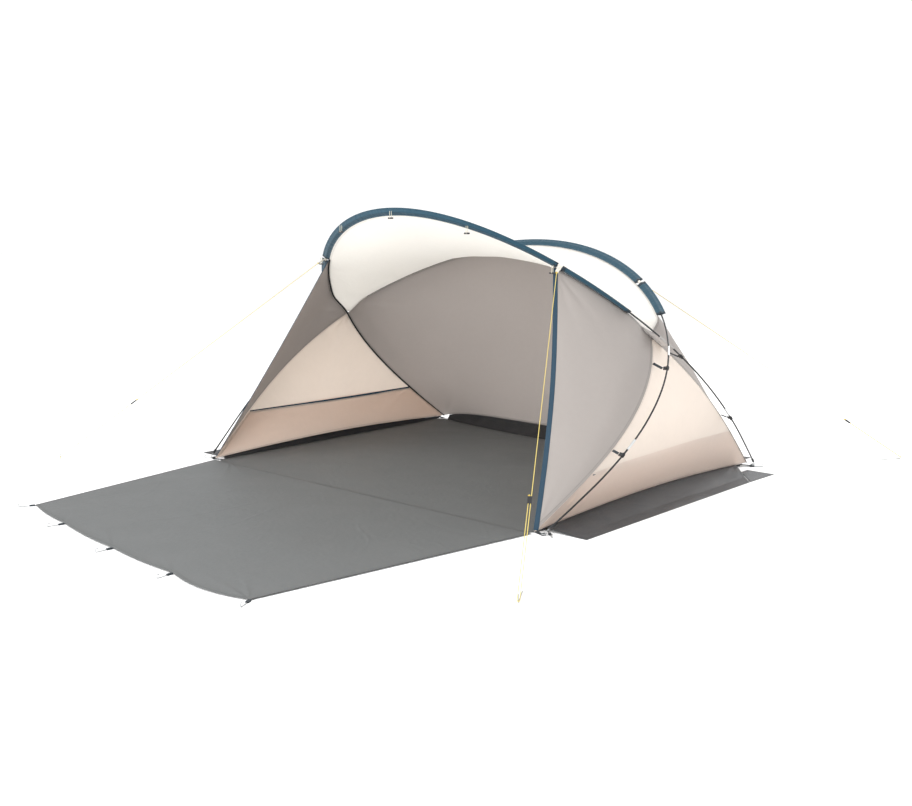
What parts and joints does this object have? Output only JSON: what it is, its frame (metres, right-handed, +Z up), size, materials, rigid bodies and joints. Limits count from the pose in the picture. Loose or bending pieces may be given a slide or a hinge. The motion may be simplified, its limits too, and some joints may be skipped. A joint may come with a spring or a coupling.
{
  "type": "beach shelter",
  "caption": "Half-open tarp shelter on two crossing bent poles, with fabric roof, back, wings, sides, floor, fold-up front mat, guy lines and pegs.",
  "frame": {"origin": "on the ground, at the middle of the rectangle of the four pole feet", "axes": "+Z up, the open front and its mat towards -Y, +X to the right seen from the front"},
  "size_m": [3.4366, 3.954, 1.3622],
  "materials": {
    "pole_glass_fibre": "black glass-fibre rod, satin",
    "ferrule_steel": "brushed bright metal",
    "shock_cord": "elastic cord",
    "black_plastic": "moulded, matt",
    "sleeve_teal": "coated polyester, slate teal",
    "binding_teal": "folded tape",
    "roof_white": "coated polyester, off-white",
    "canopy_grey": "coated polyester, warm grey",
    "gusset_grey": "coated polyester, light grey",
    "side_cream": "coated polyester, cream",
    "pocket_cream": "coated polyester, warm cream",
    "floor_grey": "coated woven floor cloth",
    "skirt_dark": "coated woven cloth, dark grey",
    "skirt_corner_grey": "coated woven cloth",
    "webbing_dark": "woven webbing",
    "webbing_pale": "woven webbing",
    "elastic_pale": "elastic cord",
    "guy_cord": "braided cord, pale yellow",
    "peg_steel": "galvanised",
    "corner_steel": "galvanised"
  },
  "bodies": {
    "root": {"back_panel": "canopy_grey", "clip_straps": "webbing_dark", "corner_pins": "corner_steel", "corner_rings": "corner_steel", "corner_tabs": "webbing_dark", "crossing_gussets": "gusset_grey", "floor_walls": "skirt_dark", "front_pole": "pole_glass_fibre", "front_sleeve": "sleeve_teal", "groundsheet": "floor_grey", "guy_knots": "guy_cord", "guy_line_left": "guy_cord", "guy_line_rear": "guy_cord", "guy_line_right": "guy_cord", "guy_loops": "webbing_pale", "left_pocket": "pocket_cream", "left_side_panel": "side_cream", "left_skirt": "skirt_dark", "left_wing": "canopy_grey", "left_wing_binding": "binding_teal", "pocket_bindings": "binding_teal", "pole_clips": "black_plastic", "pole_ferrules": "ferrule_steel", "pole_shock_cords": "shock_cord", "pole_tips": "black_plastic", "rear_pole": "pole_glass_fibre", "rear_skirt": "skirt_dark", "rear_sleeve": "sleeve_teal", "right_pocket": "pocket_cream", "right_side_panel": "side_cream", "right_skirt": "skirt_dark", "right_wing": "canopy_grey", "right_wing_binding": "binding_teal", "roof_panel": "roof_white", "skirt_corners": "skirt_corner_grey", "sleeve_ends": "sleeve_teal", "toggle_loops": "elastic_pale"},
    "patio": {"patio": "floor_grey", "patio_loops": "webbing_pale"},
    "patio_peg_1": {"patio_peg_1": "peg_steel"},
    "patio_peg_2": {"patio_peg_2": "peg_steel"},
    "patio_peg_3": {"patio_peg_3": "peg_steel"},
    "patio_peg_4": {"patio_peg_4": "peg_steel"},
    "patio_peg_5": {"patio_peg_5": "peg_steel"},
    "corner_peg_front_left": {"corner_peg_front_left": "peg_steel"},
    "corner_peg_front_right": {"corner_peg_front_right": "peg_steel"},
    "corner_peg_rear_left": {"corner_peg_rear_left": "peg_steel"},
    "corner_peg_rear_right": {"corner_peg_rear_right": "peg_steel"},
    "guy_runner_left": {"guy_runner_left": "black_plastic"},
    "guy_peg_left": {"guy_peg_left": "peg_steel"},
    "guy_runner_right": {"guy_runner_right": "black_plastic"},
    "guy_peg_right": {"guy_peg_right": "peg_steel"},
    "guy_runner_rear": {"guy_runner_rear": "black_plastic"},
    "guy_peg_rear": {"guy_peg_rear": "peg_steel"},
    "toggle_1": {"toggle_1": "black_plastic"},
    "toggle_2": {"toggle_2": "black_plastic"},
    "toggle_3": {"toggle_3": "black_plastic"},
    "toggle_4": {"toggle_4": "black_plastic"},
    "toggle_5": {"toggle_5": "black_plastic"}
  },
  "joints": [
    {"name": "patio_fold", "type": "hinge", "parent": "root", "child": "patio", "pos_m": [0, -0.9325, 0.0058], "axis": [-1, 0, 0], "range_deg": [0, 97]},
    {"name": "patio_peg_1_pull", "type": "slide", "parent": "patio", "child": "patio_peg_1", "axis": [-0.4472, -0.8944, 0], "range_m": [0, 0.14]},
    {"name": "patio_peg_2_pull", "type": "slide", "parent": "patio", "child": "patio_peg_2", "axis": [-0.1549, -0.9879, 0], "range_m": [0, 0.14]},
    {"name": "patio_peg_3_pull", "type": "slide", "parent": "patio", "child": "patio_peg_3", "axis": [-0.0002, -1, 0], "range_m": [0, 0.14]},
    {"name": "patio_peg_4_pull", "type": "slide", "parent": "patio", "child": "patio_peg_4", "axis": [0.1192, -0.9929, 0], "range_m": [0, 0.14]},
    {"name": "patio_peg_5_pull", "type": "slide", "parent": "patio", "child": "patio_peg_5", "axis": [0.4472, -0.8944, 0], "range_m": [0, 0.14]},
    {"name": "corner_peg_front_right_pull", "type": "slide", "parent": "root", "child": "corner_peg_front_right", "axis": [0.7413, -0.6712, 0], "range_m": [0, 0.14]},
    {"name": "corner_peg_front_left_pull", "type": "slide", "parent": "root", "child": "corner_peg_front_left", "axis": [-0.7413, -0.6712, 0], "range_m": [0, 0.14]},
    {"name": "corner_peg_rear_right_pull", "type": "slide", "parent": "root", "child": "corner_peg_rear_right", "axis": [0.7413, 0.6712, 0], "range_m": [0, 0.14]},
    {"name": "corner_peg_rear_left_pull", "type": "slide", "parent": "root", "child": "corner_peg_rear_left", "axis": [-0.7413, 0.6712, 0], "range_m": [0, 0.14]},
    {"name": "guy_runner_left_slide", "type": "slide", "parent": "root", "child": "guy_runner_left", "axis": [-0.5287, -0.6066, -0.5937], "range_m": [0, 0.38]},
    {"name": "guy_peg_left_pull", "type": "slide", "parent": "root", "child": "guy_peg_left", "axis": [0, 0, 1], "range_m": [0, 0.14]},
    {"name": "guy_runner_right_slide", "type": "slide", "parent": "root", "child": "guy_runner_right", "axis": [0.4384, -0.6834, -0.5837], "range_m": [0, 0.38]},
    {"name": "guy_peg_right_pull", "type": "slide", "parent": "root", "child": "guy_peg_right", "axis": [0, 0, 1], "range_m": [0, 0.14]},
    {"name": "guy_runner_rear_slide", "type": "slide", "parent": "root", "child": "guy_runner_rear", "axis": [0.4668, 0.7084, -0.5294], "range_m": [0, 0.38]},
    {"name": "guy_peg_rear_pull", "type": "slide", "parent": "root", "child": "guy_peg_rear", "axis": [0, 0, 1], "range_m": [0, 0.14]},
    {"name": "toggle_1_turn", "type": "hinge", "parent": "root", "child": "toggle_1", "pos_m": [-0.7919, -0.408, 1.0611], "axis": [0, 1, 0], "range_deg": [-80, 80]},
    {"name": "toggle_2_turn", "type": "hinge", "parent": "root", "child": "toggle_2", "pos_m": [-0.4311, -0.5884, 1.2388], "axis": [0, 1, 0], "range_deg": [-80, 80]},
    {"name": "toggle_3_turn", "type": "hinge", "parent": "root", "child": "toggle_3", "pos_m": [0, -0.6569, 1.3084], "axis": [0, 1, 0], "range_deg": [-80, 80]},
    {"name": "toggle_4_turn", "type": "hinge", "parent": "root", "child": "toggle_4", "pos_m": [0.4311, -0.5884, 1.2388], "axis": [0, 1, 0], "range_deg": [-80, 80]},
    {"name": "toggle_5_turn", "type": "hinge", "parent": "root", "child": "toggle_5", "pos_m": [0.7919, -0.408, 1.0611], "axis": [0, 1, 0], "range_deg": [-80, 80]}
  ]
}
